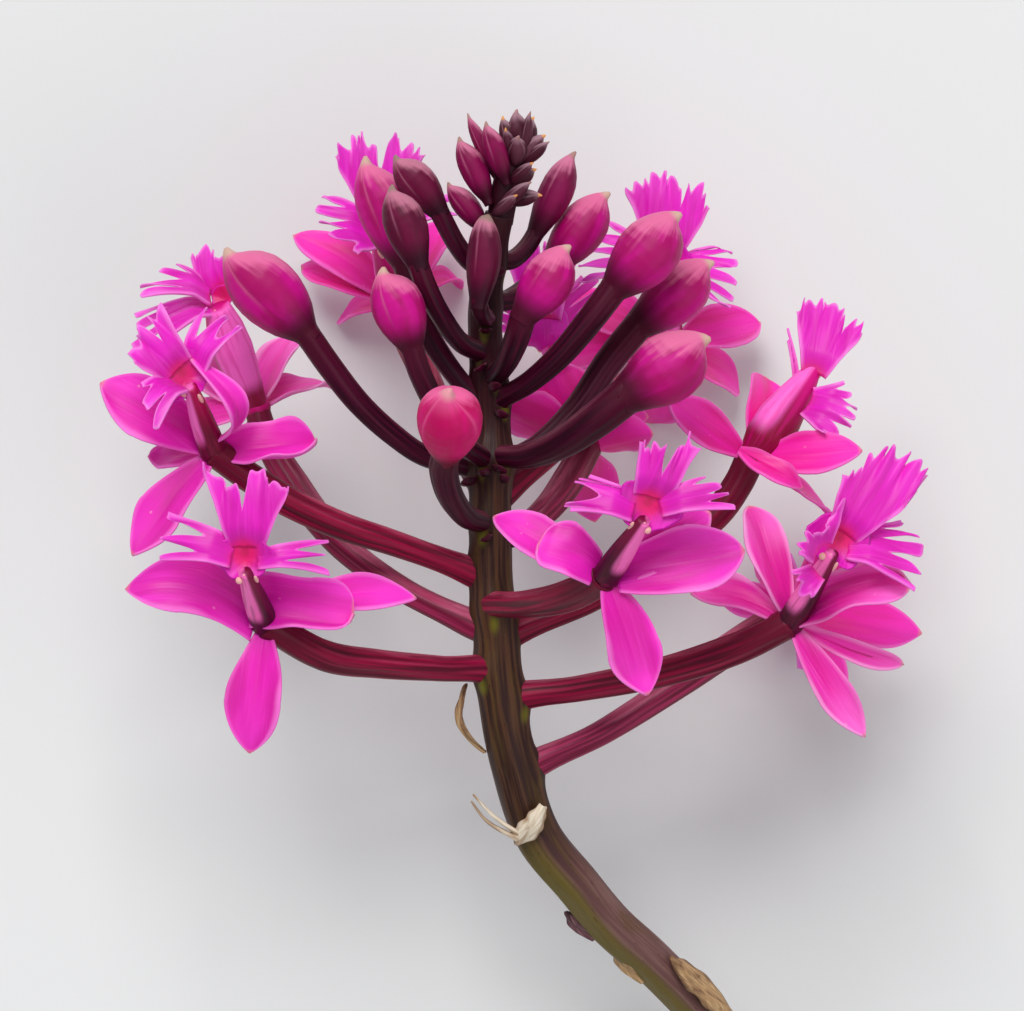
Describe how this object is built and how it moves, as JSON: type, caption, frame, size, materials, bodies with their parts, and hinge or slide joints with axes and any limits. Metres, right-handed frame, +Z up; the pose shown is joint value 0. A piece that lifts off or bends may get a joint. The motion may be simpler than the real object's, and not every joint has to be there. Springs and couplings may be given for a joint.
{
  "type": "epidendrum orchid flower spike",
  "caption": "Cut flowering spike of a crucifix orchid: fringed magenta flowers and buds on maroon stalks round a curved stem, lying down.",
  "frame": {"origin": "on the surface that the spike lies on, under the middle of its outline", "axes": "+Y towards the spike's tip, +X to the right seen from above, +Z up from the surface"},
  "size_m": [0.0829, 0.1051, 0.058],
  "materials": {
    "petal": "satin",
    "bud": "satin",
    "stalk": "satin",
    "stem": "satin",
    "bract": "matte"
  },
  "bodies": {
    "root": {"rachis": "stem", "flower_01": "petal", "pedicel_01": "stalk", "flower_02": "petal", "pedicel_02": "stalk", "flower_03": "petal", "pedicel_03": "stalk", "flower_04": "petal", "pedicel_04": "stalk", "flower_05": "petal", "pedicel_05": "stalk", "flower_06": "petal", "pedicel_06": "stalk", "flower_07": "petal", "pedicel_07": "stalk", "flower_08": "petal", "pedicel_08": "stalk", "flower_09": "petal", "pedicel_09": "stalk", "flower_10": "petal", "pedicel_10": "stalk", "bud_01": "bud", "bud_stalk_01": "stalk", "bud_02": "bud", "bud_stalk_02": "stalk", "bud_03": "bud", "bud_stalk_03": "stalk", "bud_04": "bud", "bud_stalk_04": "stalk", "bud_05": "bud", "bud_stalk_05": "stalk", "bud_06": "bud", "bud_stalk_06": "stalk", "bud_07": "bud", "bud_stalk_07": "stalk", "bud_08": "bud", "bud_stalk_08": "stalk", "bud_09": "bud", "bud_stalk_09": "stalk", "bud_10": "bud", "bud_stalk_10": "stalk", "bud_11": "bud", "bud_stalk_11": "stalk", "bud_12": "bud", "bud_stalk_12": "stalk", "bud_13": "bud", "bud_stalk_13": "stalk", "small_bud_01": "bud", "small_bud_02": "bud", "small_bud_03": "bud", "small_bud_04": "bud", "tip_cluster": "bud", "bract_stem": "bract", "bract_hanging": "bract", "bract_mauve": "bract", "bract_lower": "bract", "bract_sheath": "bract"}
  },
  "joints": []
}
